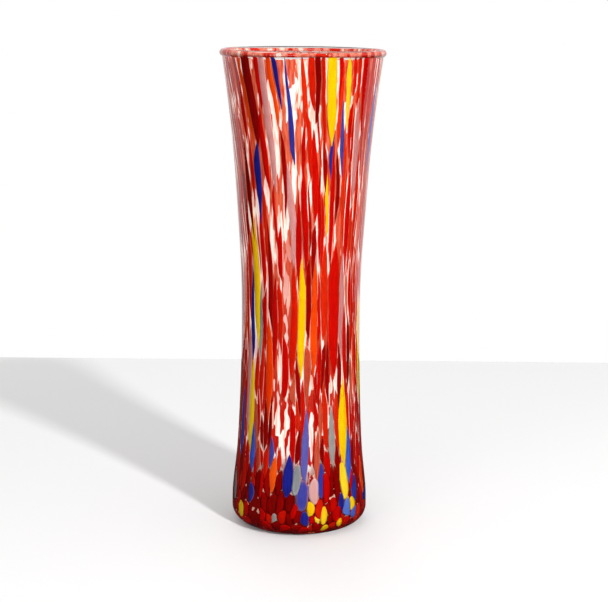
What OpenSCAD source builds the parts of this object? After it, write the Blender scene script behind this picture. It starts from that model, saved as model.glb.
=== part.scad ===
// Hand blown art glass vase: a clear gather rolled in chips of coloured glass, cased in clear,
// then blown and drawn so that the chips on the wall run out into long streaks and the ones
// at the foot stay as round spots. Millimetres, +Z up, origin on the floor on the vase's axis,
// front of the vase towards -Y.

/* [Outline] */
// Height to the top of the lip
vase_h = 280; // [240:5:320]
// Outer radius just below the lip
rim_r = 46.6; // [43:0.2:50]
// Outer radius at the narrowest part of the wall
waist_r = 34.9; // [32:0.1:38]
// Outer radius at the widest part of the foot
foot_r = 40.4; // [38:0.1:43]

/* [Glass] */
// Thickness of the clear casing that holds the chips
casing_t = 2.2; // [2.1:0.1:2.6]
// Thickness of the clear gather inside the casing, at the foot
gather_t = 3; // [2:0.1:4]
// Thickness of the clear gather at the lip
gather_lip_t = 0.8; // [0.7:0.1:1.2]
// Thickness of clear glass under the hollow
base_t = 12; // [9:0.5:16]
// Radius of the rolled bead round the lip
bead_r = 2.2; // [2:0.1:2.6]
// Radius of the ground hollow under the base, where the iron was broken off
pontil_r = 13; // [10:0.5:18]

/* [Chips] */
// Thickness of one chip
chip_t = 0.7; // [0.5:0.05:0.8]
// Depth of a chip's middle below the outer surface
chip_depth = 1.05; // [1:0.05:1.1]
// Clear line between a chip and the middle of the vein beside it, as a share of a chip's
// width, at the foot
vein_foot = 0.04; // [0.02:0.005:0.06]
// The same at the lip
vein_lip = 0.12; // [0.04:0.01:0.14]
// Number of streaks side by side round the wall
columns = 84; // [76:2:88]
// Share of the streaks left out as clear windows, at the lip
window_lip = 0.08; // [0:0.02:0.3]
// Pattern number: another value rolls another vase
roll = 7; // [1:1:99]

/* [Hidden] */
$fn = 96;

// ---- Outline ----
// The heel is a quarter ellipse from the floor up to the widest part of the foot
heel_h = 9;
heel_w = 10;
heel_len = PI / 2 * (heel_h + heel_w) / 2;
// The casing goes under the heel as far in as this radius
casing_foot_r = foot_r - heel_w - 6;
lip_z = vase_h - bead_r;

// Wall stations [height, outer radius], from the widest part of the foot to the lip
stations = [
    [heel_h, foot_r],
    [0.072 * vase_h, foot_r - 0.3],
    [0.16 * vase_h, waist_r + 0.46 * (foot_r - waist_r)],
    [0.285 * vase_h, waist_r + 0.14 * (foot_r - waist_r)],
    [0.41 * vase_h, waist_r],
    [0.535 * vase_h, waist_r + 0.03 * (rim_r - waist_r)],
    [0.66 * vase_h, waist_r + 0.2 * (rim_r - waist_r)],
    [0.785 * vase_h, waist_r + 0.415 * (rim_r - waist_r)],
    [0.89 * vase_h, waist_r + 0.68 * (rim_r - waist_r)],
    [lip_z, rim_r]
];
top = len(stations) - 1;

// Slope of the wall at station i
function slope(i) =
    let (a = stations[max(i - 1, 0)], b = stations[min(i + 1, top)])
    (b[1] - a[1]) / (b[0] - a[0]);

// Outer radius of the wall at height z: a smooth cubic between two stations
function wall_r(z, i = 0) =
    i < top - 1 && z > stations[i + 1][0] ? wall_r(z, i + 1) :
    let (
        p = stations[i],
        q = stations[i + 1],
        h = q[0] - p[0],
        t = (z - p[0]) / h
    )
    p[1] * (1 + 2 * t) * (1 - t) * (1 - t) + q[1] * t * t * (3 - 2 * t)
    + h * slope(i) * t * (1 - t) * (1 - t) + h * slope(i + 1) * t * t * (t - 1);

// Point [radius, height] at depth d under the outer surface. s runs along the outline: under
// zero on the flat underside, then round the heel, then straight up the wall to the lip
function skin(s, d = 0) =
    s < 0 ? [foot_r - heel_w + s, d] :
    s < heel_len ? let (a = 90 * s / heel_len, n = [heel_h * sin(a), -heel_w * cos(a)])
        [foot_r - heel_w * (1 - sin(a)), heel_h * (1 - cos(a))] - d * n / norm(n) :
    let (z = heel_h + s - heel_len) [wall_r(z) - d, z];
lip_s = heel_len + lip_z - heel_h;

// Angle of the outline at s, in degrees up from level
function lean(s) =
    let (d = skin(s + 0.1) - skin(s - 0.1))
    atan2(d[1], d[0]);

// The outline at depth d, from the underside to the lip
heel_steps = 6;
wall_steps = 30;
function run(d) = [
    [casing_foot_r, d],
    for (i = [0:heel_steps - 1]) skin(heel_len * i / heel_steps, d),
    for (i = [0:wall_steps]) skin(heel_len + (lip_s - heel_len) * i / wall_steps, d)
];

// Inner surface: thick at the foot, thin at the lip, with a round corner above the base
corner = 16;
function inner_r(z) =
    wall_r(z) - casing_t - gather_lip_t - (gather_t - gather_lip_t) * (1 - z / lip_z);
function hollow_r(z) =
    let (t = max(0, 1 - (z - base_t) / corner))
    inner_r(z) - corner * (1 - sqrt(1 - t * t));
hollow_run = [
    [0, base_t],
    for (i = [0:5]) let (z = base_t + corner * (1 - cos(15 * i))) [hollow_r(z), z],
    for (i = [0:26]) let (z = base_t + corner + (lip_z - base_t - corner) * i / 26) [hollow_r(z), z]
];

function reversed(list) = [for (i = [len(list) - 1:-1:0]) list[i]];

// ---- Clear glass ----
pontil_depth = 1.6;
pontil_ball_r = (pontil_r * pontil_r + pontil_depth * pontil_depth) / (2 * pontil_depth);

// First gather: the bubble's wall and the thick base that it stands on
module clear_gather() {
    color("AliceBlue", 0.35)
    difference() {
        rotate_extrude()
            polygon(concat(
                [[0, 0], [casing_foot_r, 0]],
                run(casing_t),
                reversed(hollow_run)
            ));
        translate([0, 0, pontil_depth - pontil_ball_r])
            sphere(r = pontil_ball_r);
    }
}

// Clear casing over the chips, with a pocket round each one
module clear_casing() {
    color("White", 0.3)
    difference() {
        rotate_extrude()
            polygon(concat(run(0), reversed(run(casing_t))));
        for (c = chips_of()) chip(c);
    }
}

// Fire-polished bead rolled round the lip, seated over the wall's top edge
module lip_bead() {
    color("Gainsboro", 0.5)
    rotate_extrude()
        difference() {
            translate([rim_r - (casing_t + gather_lip_t) / 2 + 0.6, lip_z])
                circle(r = bead_r);
            polygon(concat(run(0), reversed(hollow_run)));
        }
}

// ---- Chips ----
// Rings of chips, from the underside to the lip: [share of the outline's length, share of the
// columns]. Chips are broad and round at the foot, and drawn out thin and long up the wall
rings = [
    [4.5, 0.48], [4.5, 0.56], [4.5, 0.6], [5, 0.64], [6, 0.68], [8, 0.73], [12, 0.79],
    [18, 0.87], [27, 0.95], [35, 1], [41, 1], [41, 1], [37, 1], [36, 1]
];
rows = len(rings);
// Chips below this row are spots, and those above it are streaks
spot_rows = 7;
function length_to(n) = n <= 0 ? 0 : rings[n - 1][0] + length_to(n - 1);
chips_from = -5.6;
chips_to = lip_s - 0.8;
share = (chips_to - chips_from) / length_to(rows);
ring_table = [for (i = [0:rows]) [i, chips_from + share * length_to(i)]];
height_table = [for (p = ring_table) [p[1], p[0]]];
function s_of(row) = lookup(row, ring_table);
function row_of(z) = lookup(z - heel_h + heel_len, height_table);
turn_step = 360 / columns;
// Chips in ring r, and how many columns one of them takes at a row between rings
function ring_count(r) = round(columns * rings[r][1]);
pitch_table = [for (r = [0:rows - 1]) [r + 0.5, columns / ring_count(r)]];
function pitch(row) = lookup(row, pitch_table);

// Chips that catch the eye, by colour: [turn from the front to the right, height, width]
accent_groups = [
    ["yellow", [
        [22, 262, 6.5], [36, 261, 3], [23, 199, 3], [-13, 155, 5], [-47, 151, 5], [1, 130, 4],
        [77, 103, 5], [-53, 73, 5], [10, 69, 4], [45, 63, 6], [10, 45, 4], [43, 30, 6],
        [-40, 13, 5], [21, 13, 5], [-60, 11, 6]
    ]],
    ["orange", [
        [-22, 260, 4], [-4, 224, 3], [14, 127, 4], [-31, 95, 4], [-13, 57, 4], [-24, 38, 5],
        [72, 29, 5], [-40, 18, 5]
    ]],
    ["cobalt", [
        [-20, 274, 4], [-9, 246, 3], [24, 216, 3], [-40, 211, 4], [-54, 122, 3], [-10, 35, 4],
        [56, 26, 5], [-47, 24, 4]
    ]],
    ["sky_blue", [[72, 239, 4], [-49, 50, 4], [50, 44, 5], [45, 14, 6.5]]],
    ["periwinkle", [[33, 230, 3], [-68, 60, 5], [5, 51, 5], [-25, 47, 4], [2, 25, 5.5]]],
    ["lilac", [
        [-26, 239, 5], [50, 226, 5], [-10, 180, 4], [42, 129, 3], [-58, 86, 5], [-22, 74, 6],
        [13, 27, 4], [-22, 20, 4]
    ]],
    ["grey", [
        [-13, 266, 4], [-42, 121, 3], [31, 54, 3], [-1, 34, 4], [-74, 23, 5], [-20, 10, 4]
    ]],
    ["crimson", [[-41, 260, 7], [-4, 259, 5]]],
    ["scarlet", [[52, 260, 6], [34, 131, 7]]]
];

// Colours of the other chips, with how often each turns up among streaks and among spots
colours = [
    ["scarlet", 36, 32], ["crimson", 20, 26], ["vermilion", 20, 16], ["salmon", 9, 0],
    ["orange", 3, 5], ["yellow", 3, 4], ["cobalt", 2, 4], ["sky_blue", 1, 2],
    ["periwinkle", 1, 3], ["lilac", 3, 5], ["grey", 1, 3], ["white", 1, 0]
];
function pick(x, col, i = 0) =
    i >= len(colours) - 1 || x < colours[i][col] ? colours[i][0] :
    pick(x - colours[i][col], col, i + 1);

// One random number for each place in the lattice, for each thing that varies
places = columns * rows;
shift_u = rands(-0.38, 0.38, places, roll);
shift_w = rands(-0.45, 0.45, places, roll + 100);
size_of = rands(0, 1, places, roll + 200);
colour_of = rands(0, 100, places, roll + 300);
window_of = rands(0, 1, places, roll + 400);

// Seed of a chip: [column, row, half width as a share of its pitch, colour]
accent_seeds = [
    for (group = accent_groups)
    for (a = group[1])
    let (
        z = a[1],
        chip_w = wall_r(max(z, heel_h)) * turn_step * PI / 180 * pitch(row_of(z))
    )
    [a[0] / turn_step, row_of(z), 0.5 * a[2] / chip_w, group[0]]
];
// Distance round the vase, in columns, the short way
function around(d) = d - columns * round(d / columns);
// Step from chip p to chip q, both ways measured in chips
function step(p, q) =
    [around(q[0] - p[0]) * 2 / (pitch(p[1]) + pitch(q[1])), q[1] - p[1]];
// The front of the vase, where the chosen chips are, takes few others like them
front_turn = 78;
front_share = 0.88;
function lattice_seed(c, r) =
    let (
        i = c + columns * r,
        u = (c + 0.5 + shift_u[i]) * columns / ring_count(r),
        share = abs(around(u)) * turn_step < front_turn ? front_share : 1,
        col = r < spot_rows ? 2 : 1,
        p = [u, r + 0.5 + shift_w[i], 0.38 + 0.4 * pow(size_of[i], 3),
            pick(colour_of[i] * share, col)]
    )
    min([for (a = accent_seeds) norm(step(a, p)) / a[2]]) > 1.15 ? p : undef;
lattice = [for (r = [0:rows - 1]) [for (c = [0:ring_count(r) - 1]) lattice_seed(c, r)]];

// Part of a convex outline on the near side of a line: points with (p - at) * dir <= 0
function trim(outline, at, dir) =
    let (n = len(outline))
    [for (i = [0:n - 1])
        let (
            p = outline[i],
            q = outline[(i + 1) % n],
            dp = (p - at) * dir,
            dq = (q - at) * dir
        )
        each [
            if (dp <= 0) p,
            if (dp * dq < 0) p + (q - p) * dp / (dp - dq)
        ]
    ];

function vein(row) = vein_foot + (vein_lip - vein_foot) * row / rows;

// Trim an outline round seed p by the line shared with each neighbour, less half the vein
function trim_all(outline, p, others, i = 0) =
    i >= len(others) || len(outline) == 0 ? outline :
    let (
        q = others[i],
        to = step(p, q),
        d = norm(to),
        reach = d / 2 + (p[2] * p[2] - q[2] * q[2]) / (2 * d) - vein((p[1] + q[1]) / 2),
        du = around(q[0] - p[0]),
        at = [p[0] + du * reach / d, p[1] + to[1] * reach / d],
        dir = [to[0] * to[0] / du, to[1]] / d
    )
    trim_all(trim(outline, at, dir), p, others, i + 1);

reach_rows = 2;
function neighbours(p) =
    let (r0 = floor(p[1]))
    concat(
        [for (r = [max(0, r0 - reach_rows):min(rows - 1, r0 + reach_rows)])
            let (n = ring_count(r), c0 = floor(p[0] * n / columns))
            for (c = [c0 - 2:c0 + 2])
                let (q = lattice[r][(c + n) % n])
                if (q != undef && norm(step(p, q)) > 0.001) q],
        [for (a = accent_seeds) if (norm(step(p, a)) > 0.001 && norm(step(p, a)) < 3) a]
    );

// A chip's outline, [column, row] by corner. It starts as a long hexagon with its points up
// and down the wall, and is trimmed by its neighbours
half_u = 0.85;
half_w = 0.9;
shoulder = 0.35;
function cell(p) =
    let (
        u = half_u * pitch(p[1]) * max(1, p[2] / 0.5),
        low = max(0, p[1] - half_w),
        high = min(rows, p[1] + half_w),
        side_low = p[1] + (low - p[1]) * shoulder,
        side_high = p[1] + (high - p[1]) * shoulder
    )
    [p, trim_all([
        [p[0], low], [p[0] + u, side_low], [p[0] + u, side_high],
        [p[0], high], [p[0] - u, side_high], [p[0] - u, side_low]
    ], p, neighbours(p))];

// Share of places left as clear windows, more of them towards the lip
function windows(row) = window_lip * pow(max(0, row - spot_rows) / (rows - spot_rows), 1.2);

// Area of an outline, and the outline without corners that all but meet
function area(v) =
    let (n = len(v))
    n < 3 ? 0 : 0.5 * abs([for (i = [0:n - 1]) cross(v[i], v[(i + 1) % n])] * [for (q = v) 1]);
corner_gap = 0.01;
function tidied(v) =
    let (n = len(v))
    [for (i = [0:1:n - 1]) if (norm(v[i] - v[(i + 1) % n]) > corner_gap) v[i]];

// Seeds of one colour, or of all
function seeds_of(colour = "") = [
    for (a = accent_seeds) if (colour == "" || a[3] == colour) a,
    for (r = [0:rows - 1]) for (c = [0:ring_count(r) - 1])
        let (p = lattice[r][c])
        if (p != undef && (colour == "" || p[3] == colour)
            && window_of[c + columns * r] > windows(r)) p
];
// Chips of one colour, or of all: [seed, outline]. Slivers are left out
least_area = 0.15;
function chips_of(colour = "") = [
    for (p = seeds_of(colour))
        let (c = cell(p), outline = tidied(c[1]))
        if (area(outline) > least_area) [p, outline]
];

// A chip: a flat plate of its cell's outline, laid along the wall under the surface, and a
// little deeper round the heel, where the surface turns away from a flat plate
heel_extra = 0.5;
heel_fade = 7;
function extra(s) = heel_extra * max(0, 1 - max(0, s - heel_len) / heel_fade);
module chip(c) {
    u = c[0][0];
    s = s_of(c[0][1]);
    depth = chip_depth + extra(s);
    at = skin(s, depth);
    tilt = lean(s);
    along = [cos(tilt), sin(tilt)];
    outline = [
        for (v = c[1])
            let (p = skin(s_of(v[1]), depth))
            [p[0] * sin((v[0] - u) * turn_step), (p - at) * along]
    ];
    rotate([0, 0, u * turn_step - 90])
        translate([at[0], 0, at[1]])
            rotate([0, 180 - tilt, 0])
                rotate([0, 0, 90])
                    translate([0, 0, -chip_t / 2])
                        linear_extrude(chip_t)
                            polygon(outline);
}

module chips(colour, low, high) {
    for (c = chips_of(colour))
        if (c[0][1] >= low && c[0][1] < high)
            chip(c);
}
module streaks(colour) chips(colour, spot_rows, rows + 1);
module spots(colour) chips(colour, -1, spot_rows);

module scarlet_streaks() color([0.80, 0.02, 0.02]) streaks("scarlet");
module crimson_streaks() color([0.60, 0.01, 0.02]) streaks("crimson");
module vermilion_streaks() color([0.85, 0.16, 0.04]) streaks("vermilion");
module salmon_streaks() color([0.80, 0.35, 0.29]) streaks("salmon");
module orange_streaks() color([0.98, 0.35, 0.04]) streaks("orange");
module yellow_streaks() color([0.98, 0.80, 0.08]) streaks("yellow");
module cobalt_streaks() color([0.16, 0.17, 0.55]) streaks("cobalt");
module sky_blue_streaks() color([0.27, 0.43, 0.82]) streaks("sky_blue");
module periwinkle_streaks() color([0.40, 0.35, 0.70]) streaks("periwinkle");
module lilac_streaks() color([0.84, 0.63, 0.65]) streaks("lilac");
module grey_streaks() color([0.60, 0.63, 0.62]) streaks("grey");
module white_streaks() color([0.92, 0.84, 0.82]) streaks("white");
module sky_blue_spots() color([0.22, 0.38, 0.75]) spots("sky_blue");
module scarlet_spots() color([0.76, 0.02, 0.02]) spots("scarlet");
module crimson_spots() color([0.55, 0.01, 0.02]) spots("crimson");
module vermilion_spots() color([0.82, 0.14, 0.04]) spots("vermilion");
module orange_spots() color([0.95, 0.38, 0.05]) spots("orange");
module yellow_spots() color([0.96, 0.78, 0.10]) spots("yellow");
module cobalt_spots() color([0.18, 0.17, 0.52]) spots("cobalt");
module periwinkle_spots() color([0.40, 0.33, 0.66]) spots("periwinkle");
module lilac_spots() color([0.82, 0.60, 0.64]) spots("lilac");
module grey_spots() color([0.55, 0.58, 0.58]) spots("grey");

clear_gather();
clear_casing();
lip_bead();
scarlet_streaks();
crimson_streaks();
vermilion_streaks();
salmon_streaks();
orange_streaks();
yellow_streaks();
cobalt_streaks();
sky_blue_streaks();
periwinkle_streaks();
lilac_streaks();
grey_streaks();
white_streaks();
scarlet_spots();
crimson_spots();
vermilion_spots();
orange_spots();
yellow_spots();
cobalt_spots();
sky_blue_spots();
periwinkle_spots();
lilac_spots();
grey_spots();
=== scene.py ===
"""A hand blown art glass vase. The clear glass is turned from its outline, and the coloured
chips sealed in it are the ones the frame holds, softened and laid under the skin."""

import math
import random
from collections import namedtuple

import bmesh
import bpy
from mathutils import Matrix, Vector, geometry


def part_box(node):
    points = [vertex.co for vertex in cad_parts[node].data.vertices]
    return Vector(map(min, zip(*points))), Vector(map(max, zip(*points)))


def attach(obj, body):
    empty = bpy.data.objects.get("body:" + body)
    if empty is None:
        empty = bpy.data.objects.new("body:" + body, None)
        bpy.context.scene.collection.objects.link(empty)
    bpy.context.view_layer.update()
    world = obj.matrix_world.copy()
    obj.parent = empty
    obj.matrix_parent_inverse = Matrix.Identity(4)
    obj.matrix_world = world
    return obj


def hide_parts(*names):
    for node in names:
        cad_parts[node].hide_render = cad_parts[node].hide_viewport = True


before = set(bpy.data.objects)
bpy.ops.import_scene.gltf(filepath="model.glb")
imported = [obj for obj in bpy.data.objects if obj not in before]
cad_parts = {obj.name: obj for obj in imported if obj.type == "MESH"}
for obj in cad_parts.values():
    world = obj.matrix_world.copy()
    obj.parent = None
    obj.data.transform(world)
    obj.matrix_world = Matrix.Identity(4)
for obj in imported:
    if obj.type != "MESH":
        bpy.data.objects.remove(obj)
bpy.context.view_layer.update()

MM = 0.001


# ---------------------------------------------------------------- node trees
class Term:
    """One value in a node tree. Arithmetic on it adds Math nodes."""

    def __init__(self, tree, socket):
        self.tree = tree
        self.socket = socket

    def math(self, operation, *values):
        return self.tree.add("ShaderNodeMath", {"operation": operation}, dict(enumerate(values)))

    def other(self, name):
        """Another output of the same node."""
        return Term(self.tree, self.socket.node.outputs[name])

    def __add__(self, value):
        return self.math("ADD", self, value)

    def __sub__(self, value):
        return self.math("SUBTRACT", self, value)

    def __rsub__(self, value):
        return self.math("SUBTRACT", value, self)

    def __mul__(self, value):
        return self.math("MULTIPLY", self, value)

    def __truediv__(self, value):
        return self.math("DIVIDE", self, value)

    def __mod__(self, value):
        return self.math("MODULO", self, value)

    __radd__ = __add__
    __rmul__ = __mul__


class Tree:
    """A shader or Geometry Nodes tree that is built node by node."""

    def __init__(self, tree):
        self.tree = tree

    def add(self, kind, settings=None, values=None, out=0):
        """Adds a node: its settings first, then a value or a link for each socket."""
        node = self.tree.nodes.new(kind)
        for name, value in (settings or {}).items():
            setattr(node, name, value)
        for name, value in (values or {}).items():
            if isinstance(value, Term):
                self.tree.links.new(value.socket, node.inputs[name])
            else:
                node.inputs[name].default_value = value
        return Term(self, node.outputs[out]) if len(node.outputs) else node

    def vector(self, operation, a, b):
        return self.add("ShaderNodeVectorMath", {"operation": operation}, {0: a, 1: b})

    def scaled(self, a, scale):
        settings = {"operation": "SCALE"}
        return self.add("ShaderNodeVectorMath", settings, {0: a, "Scale": scale})

    def blend(self, factor, a, b):
        """Mixes two colours."""
        settings = {"data_type": "RGBA", "clamp_factor": True}
        return self.add("ShaderNodeMix", settings, {0: factor, 6: a, 7: b}, out=2)

    def between(self, value, low, high, to_low=0.0, to_high=1.0):
        """Takes a value from one range to another, and holds it there."""
        names = ("Value", "From Min", "From Max", "To Min", "To Max")
        values = dict(zip(names, (value, low, high, to_low, to_high)))
        return self.add("ShaderNodeMapRange", {"clamp": True}, values)


def linear(level):
    """One part of a screen colour, 0 to 255, as the amount of light that it stands for."""
    level /= 255
    return level / 12.92 if level < 0.04045 else ((level + 0.055) / 1.055) ** 2.4


def colour(red, green, blue):
    """A colour given as it looks on screen, made linear."""
    return (linear(red), linear(green), linear(blue), 1.0)


def grey(light):
    return (light, light, light, 1.0)


def geometry_tree(name, inputs):
    """An empty Geometry Nodes tree with one geometry in, one out, and the named inputs."""
    group = bpy.data.node_groups.new(name, "GeometryNodeTree")
    group.interface.new_socket("Geometry", in_out="INPUT", socket_type="NodeSocketGeometry")
    for label, kind, default in inputs:
        socket = group.interface.new_socket(label, in_out="INPUT", socket_type=kind)
        if default is not None:
            socket.default_value = default
    group.interface.new_socket("Geometry", in_out="OUTPUT", socket_type="NodeSocketGeometry")
    tree = Tree(group)
    given = tree.add("NodeGroupInput")
    return tree, lambda label: given.other(label)


def end_tree(tree, geometry):
    tree.add("NodeGroupOutput", None, {"Geometry": geometry})


def grown(name, mesh, tree, values):
    """Runs a Geometry Nodes tree on a mesh and returns the result as a plain mesh object."""
    source = bpy.data.objects.new(name + "_source", mesh)
    bpy.context.scene.collection.objects.link(source)
    modifier = source.modifiers.new("shape", "NODES")
    modifier.node_group = tree.tree
    for item in tree.tree.interface.items_tree:
        if item.in_out == "INPUT" and item.name in values:
            modifier[item.identifier] = values[item.name]
    bpy.context.view_layer.update()
    evaluated = source.evaluated_get(bpy.context.evaluated_depsgraph_get())
    result = bpy.data.meshes.new_from_object(evaluated)
    result.name = name
    source.modifiers.clear()
    bpy.data.objects.remove(source)
    piece = bpy.data.objects.new(name, result)
    bpy.context.scene.collection.objects.link(piece)
    return piece


# ---------------------------------------------------------------- glass
def new_material(name):
    material = bpy.data.materials.new(name)
    material.use_nodes = True
    material.node_tree.nodes.clear()
    return material, Tree(material.node_tree)


def object_coordinates(tree):
    return tree.add("ShaderNodeTexCoord", out="Object")


def noise(tree, at, scale, detail):
    values = {"Vector": at, "Scale": scale, "Detail": detail, "Roughness": 0.5}
    return tree.add("ShaderNodeTexNoise", {"noise_dimensions": "3D"}, values, out="Fac")


def height_of(tree, at):
    return tree.add("ShaderNodeSeparateXYZ", None, {0: at}).other("Z")


def stretched(tree, at, across, along):
    """Coordinates scaled by one number across the vase and another along it."""
    return tree.vector("MULTIPLY", at, (across, across, along))


CLEAR_TINT = (0.98, 0.985, 0.98, 1.0)
HAND_RIPPLE = 0.12
GLASS_IOR = 1.5


def clear_glass(name):
    """Fire-polished clear glass with the faint ripple of hand blowing. Lamps shine straight
    through it, so that the chips under it are lit."""
    material, tree = new_material(name)
    at = object_coordinates(tree)
    waves = noise(tree, stretched(tree, at, 40.0, 22.0), 1.0, 1.0)
    cords = noise(tree, stretched(tree, at, 420.0, 18.0), 1.0, 1.0)
    bump = tree.add("ShaderNodeBump", None, {
        "Strength": HAND_RIPPLE, "Distance": 0.6 * MM, "Height": waves + cords * 0.12,
    })
    haze = noise(tree, at, 90.0, 3.0)
    shade = tree.blend(tree.between(haze, 0.3, 0.7), CLEAR_TINT, grey(1.0))
    glass = tree.add("ShaderNodeBsdfPrincipled", None, {
        "Base Color": shade,
        "Roughness": 0.0,
        "Transmission Weight": 1.0,
        "IOR": GLASS_IOR,
        "Normal": bump,
    })
    lamp_light = tree.add("ShaderNodeBsdfTransparent", None, {"Color": grey(0.97)})
    shadow = tree.add("ShaderNodeLightPath", out="Is Shadow Ray")
    surface = tree.add("ShaderNodeMixShader", None, {0: shadow, 1: glass, 2: lamp_light})
    tree.add("ShaderNodeOutputMaterial", None, {"Surface": surface})
    return material


def fused_glass():
    """Where two layers of clear glass were joined hot: nothing is left to see."""
    material, tree = new_material("fused_seam")
    clear = tree.add("ShaderNodeBsdfTransparent", None, {"Color": grey(1.0)})
    tree.add("ShaderNodeOutputMaterial", None, {"Surface": clear})
    return material


CORD_CONTRAST = 0.5

# The colours whose round spots melt into the dark red ground of the foot
MELTING = ("scarlet", "crimson", "vermilion")


def chip_glass(name, body, dark, light, thin):
    """Opaque coloured glass, drawn out so that its darker and lighter cords run along it.
    Each chip has its own share of dark and light, and its edges are thin."""
    material, tree = new_material(name + "_chip")
    at = object_coordinates(tree)
    cords = noise(tree, stretched(tree, at, 900.0, 45.0), 1.0, 2.0)
    clouds = noise(tree, at, 260.0, 3.0)
    batch = tree.add("ShaderNodeAttribute", {"attribute_name": "batch"}, out="Fac")
    depth = tree.between(cords * 0.6 + clouds * 0.4, 0.38, 0.62)
    tone = tree.blend(depth * CORD_CONTRAST, body, dark)
    tone = tree.blend(tree.between(batch, 0.6, 1.0, 0.0, 0.7), tone, light)
    tone = tree.blend(tree.between(batch, 0.35, 0.0, 0.0, 0.7), tone, dark)
    edge = tree.add("ShaderNodeAttribute", {"attribute_name": "edge"}, out="Fac")
    rim = thin
    if name in MELTING:
        height = height_of(tree, at)
        tone = tree.blend(tree.between(height, 0.15, 0.06, 0.0, 0.35), tone, dark)
        rim = tree.blend(tree.between(height, 0.035, 0.055), dark, thin)
    tone = tree.blend(tree.between(edge, 0.1, 0.85, 0.0, 0.85), tone, rim)
    surface = tree.add("ShaderNodeBsdfPrincipled", None, {
        "Base Color": tone,
        "Roughness": tree.between(clouds, 0.3, 0.7, 0.35, 0.6),
        "Specular IOR Level": 0.0,
    })
    tree.add("ShaderNodeOutputMaterial", None, {"Surface": surface})
    return material


# Each colour: its body, the darker glass in its cords, its lightest chips, its thin edges
CHIP_COLOURS = {
    "scarlet": (colour(208, 8, 0), colour(182, 0, 0), colour(220, 26, 4), colour(232, 112, 76)),
    "crimson": (colour(164, 2, 0), colour(112, 0, 0), colour(186, 8, 2), colour(218, 98, 68)),
    "vermilion": (colour(216, 30, 4), colour(188, 10, 0), colour(230, 54, 12), colour(238, 138, 96)),
    "salmon": (colour(206, 88, 58), colour(180, 54, 32), colour(224, 130, 98), colour(238, 186, 158)),
    "orange": (colour(244, 78, 6), colour(224, 46, 0), colour(250, 112, 24), colour(250, 150, 90)),
    "yellow": (colour(252, 216, 8), colour(240, 184, 4), colour(255, 232, 60), colour(250, 200, 60)),
    "cobalt": (colour(34, 40, 148), colour(12, 14, 104), colour(58, 70, 176), colour(128, 84, 140)),
    "sky_blue": (colour(58, 98, 206), colour(34, 60, 170), colour(100, 136, 222),
                 colour(150, 120, 176)),
    "periwinkle": (colour(72, 74, 166), colour(46, 48, 136), colour(116, 112, 190),
                   colour(190, 130, 150)),
    "lilac": (colour(218, 158, 154), colour(194, 120, 120), colour(238, 198, 190),
              colour(240, 214, 208)),
    "grey": (colour(156, 158, 154), colour(120, 128, 130), colour(184, 182, 174),
             colour(214, 200, 190)),
    "white": (colour(240, 224, 218), colour(220, 186, 178), colour(252, 244, 240),
              colour(250, 236, 230)),
}


# ---------------------------------------------------------------- the clear glass
# Lengths in this part are in millimetres up to the point where a section is made
RUN_STEP = 3.0
RING_GAP = 8.0
RING_CORNERS = 30
TURNS = 192


def rings(node):
    """The rings of corners in a turned CAD node, in millimetres: {height: [radii]}."""
    found = {}
    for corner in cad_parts[node].data.vertices:
        x, y, z = corner.co / MM
        r = math.hypot(x, y)
        found.setdefault((round(z, 2), round(r, 1)), []).append(r)
    heights = {}
    for (z, _), radii in sorted(found.items()):
        if len(radii) > RING_CORNERS:
            heights.setdefault(z, []).append(sum(radii) / len(radii))
    return heights


def near(height, heights):
    return any(abs(height - other) < 0.02 for other in heights)


def smooth_run(points):
    """A smooth line through [radius, height] points, with a point every RUN_STEP or so."""
    line = []
    for i in range(len(points) - 1):
        places = (min(max(j, 0), len(points) - 1) for j in range(i - 1, i + 3))
        a, b, c, d = (Vector(points[j]) for j in places)
        count = max(1, round((c - b).length / RUN_STEP))
        for k in range(count):
            t = k / count
            line.append(0.5 * (
                2 * b + (c - a) * t + (2 * a - 5 * b + 4 * c - d) * t * t
                + (3 * b - a - 3 * c + d) * t ** 3
            ))
    line.append(Vector(points[-1]))
    return [tuple(p) for p in line]


def thinned(points):
    """Every point that is at least RING_GAP above the one kept before it, and the last."""
    kept = [points[0]]
    for point in points[1:-1]:
        below_top = points[-1][1] - point[1]
        if point[1] - kept[-1][1] >= RING_GAP and below_top >= RING_GAP * 0.6:
            kept.append(point)
    return kept + [points[-1]]


def arc(centre, radius, start, stop, steps):
    """Points of an arc in the section plane, by angle in degrees from level outwards."""
    angles = [math.radians(start + (stop - start) * i / steps) for i in range(steps + 1)]
    return [(centre[0] + radius * math.cos(a), centre[1] + radius * math.sin(a)) for a in angles]


def section_mesh(name, outline):
    """A section to be turned: (radius, height, fused) corners in order, in metres."""
    mesh = bpy.data.meshes.new(name)
    corners = [(r, 0.0, z) for r, z, _ in outline]
    mesh.from_pydata(corners, [(i, i + 1) for i in range(len(corners) - 1)], [])
    fused = mesh.attributes.new("fused", "FLOAT", "POINT")
    for item, (_, _, flag) in zip(fused.data, outline):
        item.value = flag
    return mesh


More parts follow.
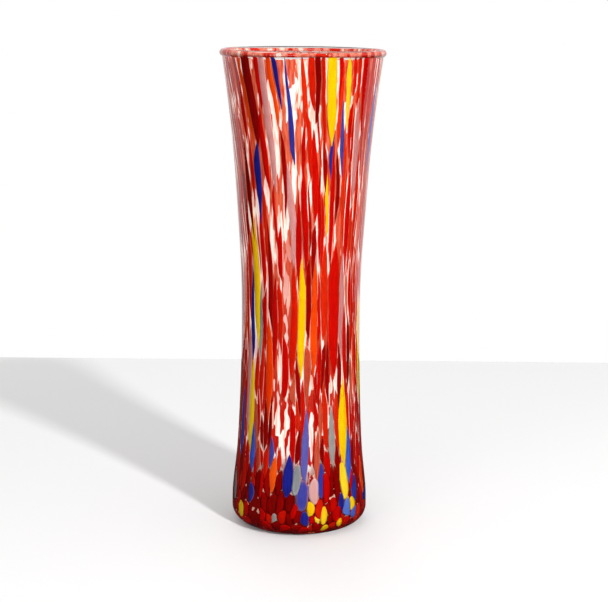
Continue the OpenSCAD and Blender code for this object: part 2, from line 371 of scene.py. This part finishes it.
def turning_tree():
    """Turns a section about the vertical axis, with a little unevenness of the hand."""
    tree, given = geometry_tree("turned_glass", [
        ("Turns", "NodeSocketInt", TURNS),
        ("Unevenness", "NodeSocketFloat", 0.008),
        ("Lip Dip", "NodeSocketFloat", 0.0009),
        ("Lip Height", "NodeSocketFloat", 0.28),
        ("Glass", "NodeSocketMaterial", None),
        ("Seam", "NodeSocketMaterial", None),
    ])
    section = given("Geometry")
    turns = given("Turns")
    count = tree.add("GeometryNodeAttributeDomainSize", {"component": "MESH"},
                     {"Geometry": section}, out="Point Count")
    grid = tree.add("GeometryNodeMeshGrid", None, {
        "Size X": 1.0, "Size Y": 1.0, "Vertices X": turns + 1, "Vertices Y": count,
    })
    index = tree.add("GeometryNodeInputIndex")
    along = index % count
    column = (index + 0.5) / count
    around = column.math("FLOOR", column)
    place = tree.add("GeometryNodeInputPosition")
    corner = tree.add("GeometryNodeSampleIndex", {"data_type": "FLOAT_VECTOR", "domain": "POINT"},
                      {"Geometry": section, "Value": place, "Index": along})
    flag = tree.add("GeometryNodeInputNamedAttribute", {"data_type": "FLOAT"}, {"Name": "fused"})
    fused = tree.add("GeometryNodeSampleIndex", {"data_type": "FLOAT", "domain": "POINT"},
                     {"Geometry": section, "Value": flag, "Index": along})
    parts = tree.add("ShaderNodeSeparateXYZ", None, {0: corner})
    angle = (around % turns) / turns * math.tau
    sine = angle.math("SINE", angle)
    cosine = angle.math("COSINE", angle)
    height = parts.other("Z")
    where = tree.add("ShaderNodeCombineXYZ", None, {0: sine, 1: cosine, 2: height * 9.0})
    wave = noise(tree, where, 1.3, 1.0)
    radius = parts.other("X") * (1.0 - wave * given("Unevenness"))
    top = given("Lip Height")
    dip = noise(tree, where, 0.9, 1.0) * given("Lip Dip")
    lowered = height - dip * tree.between(height, top * 0.93, top)
    spot = tree.add("ShaderNodeCombineXYZ", None, {
        0: radius * sine, 1: radius * cosine * -1.0, 2: lowered,
    })
    marked = tree.add("GeometryNodeStoreNamedAttribute", {"data_type": "FLOAT", "domain": "POINT"},
                      {"Geometry": grid, "Name": "fused", "Value": fused})
    placed = tree.add("GeometryNodeSetPosition", None, {"Geometry": marked, "Position": spot})
    closed = tree.add("GeometryNodeMergeByDistance", None, {"Geometry": placed, "Distance": 1e-6})
    smooth = tree.add("GeometryNodeSetShadeSmooth", {"domain": "FACE"}, {"Geometry": closed})
    bend = tree.add("GeometryNodeInputMeshEdgeAngle")
    crisp = tree.add("GeometryNodeSetShadeSmooth", {"domain": "EDGE"}, {
        "Geometry": smooth, "Selection": bend.math("GREATER_THAN", bend, 0.6),
        "Shade Smooth": False,
    })
    real = tree.add("GeometryNodeRealizeInstances", None, {"Geometry": crisp})
    glass = tree.add("GeometryNodeSetMaterial", None, {
        "Geometry": real, "Material": given("Glass"),
    })
    mark = tree.add("GeometryNodeInputNamedAttribute", {"data_type": "FLOAT"}, {"Name": "fused"})
    end_tree(tree, tree.add("GeometryNodeSetMaterial", None, {
        "Geometry": glass, "Selection": mark.math("GREATER_THAN", mark, 0.99),
        "Material": given("Seam"),
    }))
    return tree


def face_outwards(piece):
    shape = bmesh.new()
    shape.from_mesh(piece.data)
    bmesh.ops.recalc_face_normals(shape, faces=shape.faces)
    shape.to_mesh(piece.data)
    shape.free()


def metres(points, flag):
    return [(r * MM, z * MM, flag) for r, z in points]


casing_rings = rings("clear_casing")
gather_rings = rings("clear_gather")
lip_low, lip_high = (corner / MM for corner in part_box("lip_bead"))

# The bead's section is a round of this radius, less the wall that it is rolled over
bead_r = 2.2
lip_z = lip_high.z - bead_r
bead_x = lip_high.x - bead_r

# The heel is a quarter ellipse from the floor up to the widest part of the foot
heel_h = 9.0
heel_w = 10.0
casing_t = 2.2
wall_start = 28.1

wall_rings = [(z, radii) for z, radii in casing_rings.items() if z >= heel_h and len(radii) > 1]
outer_run = smooth_run(thinned([(max(radii), z) for z, radii in wall_rings]))
seam_run = smooth_run(thinned([(min(radii), z) for z, radii in wall_rings]))
inner_points = [(min(radii), z) for z, radii in gather_rings.items()
                if z > wall_start and (z > lip_z - 0.1 or not near(z, casing_rings))]
inner_run = smooth_run(thinned(inner_points))

foot_r = outer_run[0][0]
foot_seam_r = 24.4
ring_r = foot_r - heel_w
base_z = 12.0
corner_r = 16.0
pontil_r = 13.0
pontil_depth = 1.6
ground_r = 27.0


def quarter(steps):
    """The angles that cut a quarter turn into equal steps, without its two ends."""
    return [math.pi / 2 * i / steps for i in range(1, steps)]


def heel(depth):
    """The heel's curve at a depth under the skin, without its two ends."""
    points = []
    for a in quarter(10):
        out = Vector((heel_h * math.sin(a), -heel_w * math.cos(a))).normalized()
        skin_point = Vector((ring_r + heel_w * math.sin(a), heel_h * (1 - math.cos(a))))
        points.append(tuple(skin_point - depth * out))
    return points


def hollow_corner():
    """The round corner between the flat of the hollow's floor and its wall."""
    low = Vector((inner_run[0][0] - corner_r * 0.97, base_z))
    rise = Vector(inner_run[0]) - low
    points = [tuple(low)]
    for a in quarter(8):
        points.append((low.x + rise.x * math.sin(a), low.y + rise.y * (1 - math.cos(a))))
    return points


def crossing(wall):
    """The height where the bead's round meets a wall of that radius, under the lip."""
    return lip_z - math.sqrt(bead_r ** 2 - (wall - bead_x) ** 2)


rim_r = outer_run[-1][0]
rim_seam_r = seam_run[-1][0]
rim_inner_r = inner_run[-1][0]
bead_outside_z = crossing(rim_r)
bead_inside_z = crossing(rim_inner_r)


def below(run, height):
    """The part of a run that ends clear of a joint at that height."""
    return [p for p in run if p[1] < height - 0.3]


def radius_at(run, height):
    for (r0, z0), (r1, z1) in zip(run, run[1:]):
        if z0 <= height <= z1:
            return r0 + (r1 - r0) * (height - z0) / (z1 - z0)
    return run[-1][0]


outside_joint = (radius_at(outer_run, bead_outside_z), bead_outside_z)
inside_joint = (radius_at(inner_run, bead_inside_z), bead_inside_z)
pontil_curve = [(pontil_r * math.cos(a), pontil_depth * math.sin(a)) for a in quarter(6)]

# The face where the gather and the casing were fused, from the rim down to the floor
fused_face = (
    metres(seam_run[-2::-1] + heel(casing_t)[::-1], 1)
    + metres([(ring_r, casing_t), (foot_seam_r, casing_t), (foot_seam_r, 0.0)], 1)
)

gather_section = (
    metres([(0.0, base_z), (8.0, base_z)] + hollow_corner() + below(inner_run, bead_inside_z), 0)
    + metres([inside_joint, (rim_inner_r, lip_z), (rim_seam_r, lip_z)], 1)
    + fused_face
    + metres([(19.0, 0.0), (pontil_r, 0.0)] + pontil_curve + [(0.0, pontil_depth)], 0)
)
casing_section = (
    metres([(foot_seam_r, 0.0)], 1)
    + metres([(ground_r, 0.0), (ring_r, 0.0)] + heel(0.0) + below(outer_run, bead_outside_z), 0)
    + metres([outside_joint, (rim_r, lip_z), (rim_seam_r, lip_z)], 1)
    + fused_face
)
inside_angle = math.degrees(math.atan2(inside_joint[1] - lip_z, inside_joint[0] - bead_x)) % 360
outside_angle = math.degrees(math.atan2(outside_joint[1] - lip_z, outside_joint[0] - bead_x))
bead_arc = arc((bead_x, lip_z), bead_r, inside_angle, outside_angle, 20)
bead_section = (
    metres([inside_joint], 1) + metres(bead_arc[1:-1], 0)
    + metres([outside_joint, (rim_r, lip_z), (rim_seam_r, lip_z), (rim_inner_r, lip_z),
              inside_joint], 1)
)

seam = fused_glass()
turning = turning_tree()
GLASS_PIECES = {
    "gather_glass": ("clear_gather", "clear_glass", gather_section),
    "casing_glass": ("clear_casing", "casing_glass", casing_section),
    "lip_glass": ("lip_bead", "lip_glass", bead_section),
}
for name, (node, slot, section) in GLASS_PIECES.items():
    glass = clear_glass(slot)
    piece = grown(name, section_mesh(name + "_section", section), turning,
                  {"Glass": glass, "Seam": seam})
    face_outwards(piece)
    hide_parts(node)
    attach(piece, "root")


# ---------------------------------------------------------------- the chips
# How chips of a kind are softened: the fullness of their ends, how nearly their sides are
# parallel, where their shoulders are, how much wider they are at the foot and how much of that
# is lost up to the lip, how much each end is drawn out, and whether they run into the lip
ChipKind = namedtuple("ChipKind", "fullness roundness shoulder widen narrowing lengthen keeps_to_lip")
CHIP_KINDS = {
    "streaks": ChipKind(5.0, 0.12, 0.84, 1.2, 0.24, 0.06, True),
    "spots": ChipKind(2.1, 0.9, 0.6, 1.06, 0.0, 0.04, False),
}
# A chip's section, corner by corner: its place in half widths, its place in shoulder widths,
# and its lift towards the skin
LADDER = ((-1, 0, 0.0), (0, -1, 0.9), (0, 0, 1.0), (0, 1, 0.9),
          (1, 0, 0.0), (0, 1, -0.9), (0, 0, -1.0), (0, -1, -0.9))
LEAN_AT_LIP = 0.15
LEAN_START = 0.13
LEAN_RISE = 0.15
LIP_REACH = 7.0
LIP_SHARE = 0.6
LIP_WIDTH = 0.42
RUNG_STEP = 3.5 * MM
END_SOFTNESS = 0.07
VASE_HEIGHT = 0.28


def lean_of(middle):
    """How far a streak leans over, turning about its middle, for each length up the wall. The
    glass was given a slight turn as it was drawn, more on the left than on the right."""
    rise = max(0.0, (middle.z - LEAN_START) / LEAN_RISE)
    return LEAN_AT_LIP * rise * (0.6 - 0.5 * middle.x / math.hypot(middle.x, middle.y))


def solids(mesh):
    """The corners and the faces' (normal, area) of each separate solid in a mesh."""
    shape = bmesh.new()
    shape.from_mesh(mesh)
    bmesh.ops.remove_doubles(shape, verts=shape.verts, dist=1e-6)
    shape.faces.ensure_lookup_table()
    seen = set()
    for first in shape.faces:
        if first in seen:
            continue
        seen.add(first)
        waiting = [first]
        faces = []
        while waiting:
            face = waiting.pop()
            faces.append(face)
            for edge in face.edges:
                for other in edge.link_faces:
                    if other not in seen:
                        seen.add(other)
                        waiting.append(other)
        corners = {v.index: v.co.copy() for face in faces for v in face.verts}
        yield list(corners.values()), [(f.normal.copy(), f.calc_area()) for f in faces]
    shape.free()


def flat_chip(corners, faces):
    """A chip's middle, its directions across and along, and its outline in those two."""
    middle = sum(corners, Vector()) / len(corners)
    _, _, outward, _ = skin.closest_point_on_mesh(middle)
    normal = sum((n * area for n, area in faces if n.dot(outward) > 0.8), Vector()).normalized()
    rising = Vector((middle.x, middle.y, 0.0)).normalized() + Vector((0.0, 0.0, 1.0))
    along = (rising - normal * rising.dot(normal)).normalized()
    across = along.cross(normal)
    top = [c - middle for c in corners if (c - middle).dot(normal) > 0]
    flat = [Vector((c.dot(across), c.dot(along))) for c in top]
    order = geometry.convex_hull_2d(flat)
    return middle, across, along, normal, [flat[i] for i in order]


def span(outline, v):
    """The left and right edges of a convex outline at a height."""
    found = []
    for a, b in zip(outline, outline[1:] + outline[:1]):
        if min(a.y, b.y) - 1e-9 <= v <= max(a.y, b.y) + 1e-9:
            if abs(b.y - a.y) < 1e-9:
                found += [a.x, b.x]
            else:
                found.append(a.x + (b.x - a.x) * (v - a.y) / (b.y - a.y))
    return (min(found), max(found)) if found else (0.0, 0.0)


def drawn_mesh(node, kind, seed):
    """Every chip of a CAD node as a lens with rounded edges and drawn-out ends, still flat."""
    chance = random.Random(seed)
    corners, faces, lifts, edges, batches = [], [], [], [], []
    for solid, sides in solids(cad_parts[node].data):
        middle, across, along, normal, outline = flat_chip(solid, sides)
        low = min(p.y for p in outline)
        high = max(p.y for p in outline)
        broad = max(p.x for p in outline) - min(p.x for p in outline)
        batch = chance.random()
        end_z = (middle + along * high).z
        at_lip = kind.keeps_to_lip and end_z / MM > lip_z - LIP_REACH and batch < LIP_SHARE
        lean = lean_of(middle)
        steps = min(12, max(6, round((high - low) / RUNG_STEP)))
        widen = kind.widen - kind.narrowing * middle.z / VASE_HEIGHT
        first = len(corners)
        top = high + (high - low) * kind.lengthen
        bottom = low - (high - low) * kind.lengthen
        if at_lip:
            top = high + (lip_z - 0.2) * MM - end_z
        for i in range(steps + 1):
            t = -math.cos(math.pi * i / steps)
            v = (top + bottom) / 2 + t * (top - bottom) / 2
            inside = low + (high - low) * (v - bottom) / (top - bottom)
            reach = END_SOFTNESS * (high - low)
            spans = [span(outline, min(high, max(low, inside + k * reach))) for k in (-1, 0, 1)]
            left = sum(s[0] for s in spans) / 3
            right = sum(s[1] for s in spans) / 3
            half = ((right - left) * (1 - kind.roundness) + broad * kind.roundness) / 2
            full = (1 - abs(t) ** kind.fullness) ** 0.5 if abs(t) < 1 else 0.0
            if at_lip and t > 0:
                full = 1.0 if t < 1 else 0.0
                half = max(half, LIP_WIDTH * broad)
            for side, shoulder, lift in LADDER:
                place = side + shoulder * kind.shoulder
                u = (left + right) / 2 + place * half * widen * full - lean * v
                corners.append(middle + across * u + along * v)
                lifts.append(lift * min(1.0, full * 1.4))
                edges.append(1.0 if side else max(0.0, 1 - full * 1.5))
                batches.append(batch)
        around = len(LADDER)
        for i in range(steps):
            for j in range(around):
                a = first + i * around + j
                b = first + i * around + (j + 1) % around
                faces.append((a, b, b + around, a + around))
    mesh = bpy.data.meshes.new(node + "_flat")
    mesh.from_pydata([tuple(c) for c in corners], [], faces)
    for label, values in (("lift", lifts), ("edge", edges), ("batch", batches)):
        mesh.attributes.new(label, "FLOAT", "POINT").data.foreach_set("value", values)
    return mesh


def laying_tree():
    """Lays flat chips under the skin of the glass, and lets them wander as the glass flowed."""
    tree, given = geometry_tree("laid_chips", [
        ("Skin", "NodeSocketObject", None),
        ("Depth", "NodeSocketFloat", 1.05 * MM),
        ("Thickness", "NodeSocketFloat", 0.35 * MM),
        ("Layering", "NodeSocketFloat", 0.5 * MM),
        ("Wander", "NodeSocketFloat", 1.6 * MM),
        ("Ripple", "NodeSocketFloat", 0.5 * MM),
        ("Material", "NodeSocketMaterial", None),
    ])
    place = tree.add("GeometryNodeInputPosition")
    parts = tree.add("ShaderNodeSeparateXYZ", None, {0: place})
    outward = tree.add("ShaderNodeCombineXYZ", None, {0: parts, 1: parts.other("Y"), 2: 0.0})
    up = tree.add("ShaderNodeCombineXYZ", None, {2: 1.0})
    sideways = tree.vector("NORMALIZE", tree.vector("CROSS_PRODUCT", up, outward), up)
    flow = noise(tree, stretched(tree, place, 55.0, 24.0), 1.0, 1.0) - 0.5
    ripple = noise(tree, stretched(tree, place, 240.0, 110.0), 1.0, 1.0) - 0.5
    shift = (flow * given("Wander") + ripple * given("Ripple")) * 2.0
    moved = tree.vector("ADD", place, tree.scaled(sideways, shift))
    skin = tree.add("GeometryNodeObjectInfo", {"transform_space": "ORIGINAL"},
                    {"Object": given("Skin")}, out="Geometry")
    nearest = tree.add("GeometryNodeProximity", {"target_element": "FACES"},
                       {"Geometry": skin, "Sample Position": moved}, out="Position")
    facing = tree.add("GeometryNodeInputNormal")
    normal = tree.add("GeometryNodeSampleNearestSurface", {"data_type": "FLOAT_VECTOR"},
                      {"Mesh": skin, "Value": facing, "Sample Position": moved})
    lift = tree.add("GeometryNodeInputNamedAttribute", {"data_type": "FLOAT"}, {"Name": "lift"})
    batch = tree.add("GeometryNodeInputNamedAttribute", {"data_type": "FLOAT"}, {"Name": "batch"})
    layer = (batch - 0.5) * given("Layering")
    drop = given("Depth") + layer - lift * given("Thickness") * 0.5
    spot = tree.vector("SUBTRACT", nearest, tree.scaled(normal, drop))
    laid = tree.add("GeometryNodeSetPosition", None, {
        "Geometry": given("Geometry"), "Position": spot,
    })
    closed = tree.add("GeometryNodeMergeByDistance", None, {"Geometry": laid, "Distance": 1e-6})
    smooth = tree.add("GeometryNodeSetShadeSmooth", {"domain": "FACE"}, {"Geometry": closed})
    real = tree.add("GeometryNodeRealizeInstances", None, {"Geometry": smooth})
    end_tree(tree, tree.add("GeometryNodeSetMaterial", None, {
        "Geometry": real, "Material": given("Material"),
    }))
    return tree


skin_section = metres(
    [(foot_seam_r, 0.0), (ground_r, 0.0), (ring_r, 0.0)] + heel(0.0) + outer_run, 0)
skin = grown("skin", section_mesh("skin_section", skin_section), turning, {})
face_outwards(skin)
laying = laying_tree()

chip_nodes = [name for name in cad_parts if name.endswith(("_streaks", "_spots"))]
bpy.context.view_layer.update()
for number, node in enumerate(sorted(chip_nodes)):
    name, kind = node.rsplit("_", 1)
    material = bpy.data.materials.get(name + "_chip") or chip_glass(name, *CHIP_COLOURS[name])
    piece = grown(node + "_laid", drawn_mesh(node, CHIP_KINDS[kind], number), laying,
                  {"Skin": skin, "Material": material})
    face_outwards(piece)
    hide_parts(node)
    name + "_glass"
    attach(piece, "root")
bpy.data.objects.remove(skin)


# ---------------------------------------------------------------- colour between the chips
def bled_colour():
    """Colour that ran between the chips: a pale haze with salmon threads drawn out along the
    wall, and a dark red ground that closes up towards the foot. The threads and the ground
    are colour; the pale haze, and the glow given to the haze and the threads, are painted
    light that stands in for the light coming through the clear glass between the chips."""
    material, tree = new_material("bled_colour")
    at = object_coordinates(tree)
    threads = noise(tree, stretched(tree, at, 330.0, 20.0), 1.0, 2.0)
    fine = noise(tree, stretched(tree, at, 900.0, 30.0), 1.0, 2.0)
    clouds = noise(tree, stretched(tree, at, 90.0, 30.0), 1.0, 3.0)
    height = height_of(tree, at)
    ground = tree.between(height + (clouds - 0.5) * 0.06, 0.05, 0.03)
    low = tree.between(height, 0.2, 0.07)
    net = tree.between(noise(tree, stretched(tree, at, 300.0, 80.0), 1.0, 1.0), 0.52, 0.54)
    thread = tree.between(threads + 0.008 + low * 0.04, 0.495, 0.508) * (1.0 - net * low)
    tone = tree.blend(tree.between(fine, 0.4, 0.6), colour(202, 66, 38),
                      colour(216, 108, 76))
    tone = tree.blend(low * 0.92, tone, colour(178, 8, 2))
    # Painted light: the pale haze stands in for the light seen through the clear glass between the
    # chips
    pale = tree.blend(tree.between(fine, 0.5, 0.62), colour(255, 248, 240),
                      colour(244, 196, 174))
    tone = tree.blend(thread, pale, tone)
    # Painted highlights: small pale flecks in the dark red ground of the foot
    painted_glints = tree.between(noise(tree, at, 330.0, 1.0), 0.6, 0.63)
    closed = tree.blend(painted_glints, colour(134, 6, 2), colour(244, 196, 174))
    tone = tree.blend(ground, tone, closed)
    cover = thread.math("MAXIMUM", thread * 0.15 + 0.7, ground)
    # Painted glow: the haze and threads emit light of their own, while the dark red ground is left
    # unlit
    painted_glow = tree.blend(ground, tone, grey(0.0))
    surface = tree.add("ShaderNodeBsdfPrincipled", None, {
        "Base Color": tone, "Alpha": cover, "Roughness": 0.5, "Specular IOR Level": 0.0,
        "Emission Color": painted_glow, "Emission Strength": 0.3,
    })
    tree.add("ShaderNodeOutputMaterial", None, {"Surface": surface})
    return material


def lip_colour():
    """The colours gathered into the lip: salmon, with red and pale places where streaks end."""
    material, tree = new_material("lip_colour")
    at = object_coordinates(tree)
    patches = noise(tree, stretched(tree, at, 190.0, 0.0), 1.0, 2.0)
    fine = noise(tree, stretched(tree, at, 420.0, 300.0), 1.0, 2.0)
    tone = tree.blend(tree.between(fine, 0.4, 0.6), colour(214, 100, 78),
                      colour(232, 150, 128))
    tone = tree.blend(tree.between(patches, 0.5, 0.56), tone, colour(198, 34, 18))
    tone = tree.blend(tree.between(patches, 0.39, 0.36), tone, colour(246, 216, 204))
    surface = tree.add("ShaderNodeBsdfPrincipled", None, {
        "Base Color": tone, "Roughness": 0.5, "Specular IOR Level": 0.0,
    })
    tree.add("ShaderNodeOutputMaterial", None, {"Surface": surface})
    return material


def sunk(points, depth):
    """A run of section points moved in by a depth."""
    return [(r - depth, z) for r, z in points]


BLEED_OUT = 1.55
BLEED_IN = 1.7
bleed_run = [p for p in outer_run if p[1] < lip_z - 2.2]
bleed_section = metres(
    [(ring_r - 2.0, BLEED_OUT)] + heel(BLEED_OUT) + sunk(bleed_run, BLEED_OUT)
    + sunk(bleed_run, BLEED_IN)[::-1] + heel(BLEED_IN)[::-1]
    + [(ring_r - 2.0, BLEED_IN), (ring_r - 2.0, BLEED_OUT)], 0)
bleed = grown("bled_colour", section_mesh("bleed_section", bleed_section), turning,
              {"Glass": bled_colour(), "Seam": seam})
face_outwards(bleed)
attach(bleed, "root")

LIP_CORE_R = 0.75
core_section = metres(arc((bead_x, lip_z), LIP_CORE_R, 0, 360, 16), 0)
core = grown("lip_colour", section_mesh("lip_core_section", core_section), turning,
             {"Glass": lip_colour(), "Seam": seam})
face_outwards(core)
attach(core, "root")


# ---------------------------------------------------------------- the floor and the light
FLOOR_BACK = 0.41
FLOOR_REACH = 4


def floor_finish():
    """Plain pale paint with a trace of unevenness. In a reflection it shows as a painted dark surface
    instead.
    """
    material, tree = new_material("floor_paint")
    at = object_coordinates(tree)
    cloud = noise(tree, at, 3.0, 4.0)
    grain = noise(tree, at, 160.0, 2.0)
    shade = tree.blend(cloud * 0.5 + grain * 0.25, colour(244, 244, 244),
                       colour(238, 238, 238))
    paint = tree.add("ShaderNodeBsdfPrincipled", None, {
        "Base Color": shade, "Roughness": 0.7, "Specular IOR Level": 0.2,
    })
    # Painted reflection: mirroring rays see the floor as a near-black surface in place of the pale
    # paint
    painted_dark_reflection = tree.add("ShaderNodeEmission", None, {"Color": grey(0.03), "Strength": 1.0})
    mirrored = tree.add("ShaderNodeLightPath", out="Is Glossy Ray")
    surface = tree.add("ShaderNodeMixShader", None, {0: mirrored, 1: paint, 2: painted_dark_reflection})
    tree.add("ShaderNodeOutputMaterial", None, {"Surface": surface})
    return material


floor_mesh = bpy.data.meshes.new("floor")
floor_mesh.from_pydata([
    (-FLOOR_REACH, -FLOOR_REACH, 0), (FLOOR_REACH, -FLOOR_REACH, 0),
    (FLOOR_REACH, FLOOR_BACK, 0), (-FLOOR_REACH, FLOOR_BACK, 0),
], [], [(0, 1, 2, 3)])
floor = bpy.data.objects.new("floor", floor_mesh)
bpy.context.scene.collection.objects.link(floor)
floor_mesh.materials.append(floor_finish())

world = bpy.data.worlds.new("studio")
bpy.context.scene.world = world
world.use_nodes = True
world.node_tree.nodes.clear()
sky = Tree(world.node_tree)
towards = sky.add("ShaderNodeTexCoord", out="Generated")
direction = sky.add("ShaderNodeSeparateXYZ", None, {0: towards})
behind = sky.between(direction.other("Y"), -0.55, 0.3)
above = sky.between(direction.other("Z"), 0.5, 0.85)

# The glass mirrors a dim room in front, a little light above and the pale studio elsewhere
mirrored_room = sky.blend(behind, sky.blend(above, grey(0.02), grey(0.3)), grey(0.75))
is_seen = sky.add("ShaderNodeLightPath", out="Is Camera Ray")
is_mirrored = sky.add("ShaderNodeLightPath", out="Is Glossy Ray")
room = sky.blend(is_mirrored, sky.blend(is_seen, grey(0.62), grey(1.0)), mirrored_room)
background = sky.add("ShaderNodeBackground", None, {"Color": room, "Strength": 1.0})
sky.add("ShaderNodeOutputWorld", None, {"Surface": background})


VASE_MIDDLE = Vector((0.0, 0.0, 0.14))


def lamp(name, direction, distance, size, power):
    """A square soft light that faces the middle of the vase."""
    data = bpy.data.lights.new(name, "AREA")
    data.shape = "SQUARE"
    data.size = size
    data.energy = power
    light = bpy.data.objects.new(name, data)
    away = Vector(direction).normalized()
    light.location = VASE_MIDDLE + away * distance
    light.rotation_euler = away.to_track_quat("Z", "Y").to_euler()
    bpy.context.scene.collection.objects.link(light)
    return light


lamp("key", (1.0, -1.5, 1.35), 1.6, 0.1, 17.0)
lamp("fill", (-0.8, -1.6, 0.3), 1.8, 1.2, 10.0)
back = lamp("back", (-0.3, 1.6, 0.7), 1.8, 1.2, 7.0)
back.visible_glossy = False
back.visible_transmission = False

CAMERA_PLACE = (0.00185, -0.896, 0.3094)
CAMERA_LOOKS_DOWN = 11.15
CAMERA_ROLL = 0.52
camera_data = bpy.data.cameras.new("camera")
camera_data.lens = 91.8
camera_data.sensor_width = 36.0
camera = bpy.data.objects.new("camera", camera_data)
tilt = Matrix.Rotation(math.radians(90 - CAMERA_LOOKS_DOWN), 4, "X")
roll = Matrix.Rotation(math.radians(CAMERA_ROLL), 4, "Z")
camera.matrix_world = Matrix.Translation(CAMERA_PLACE) @ tilt @ roll
bpy.context.scene.collection.objects.link(camera)
bpy.context.scene.camera = camera

bpy.context.scene.view_settings.view_transform = "Standard"
bpy.context.scene.cycles.transparent_max_bounces = 24
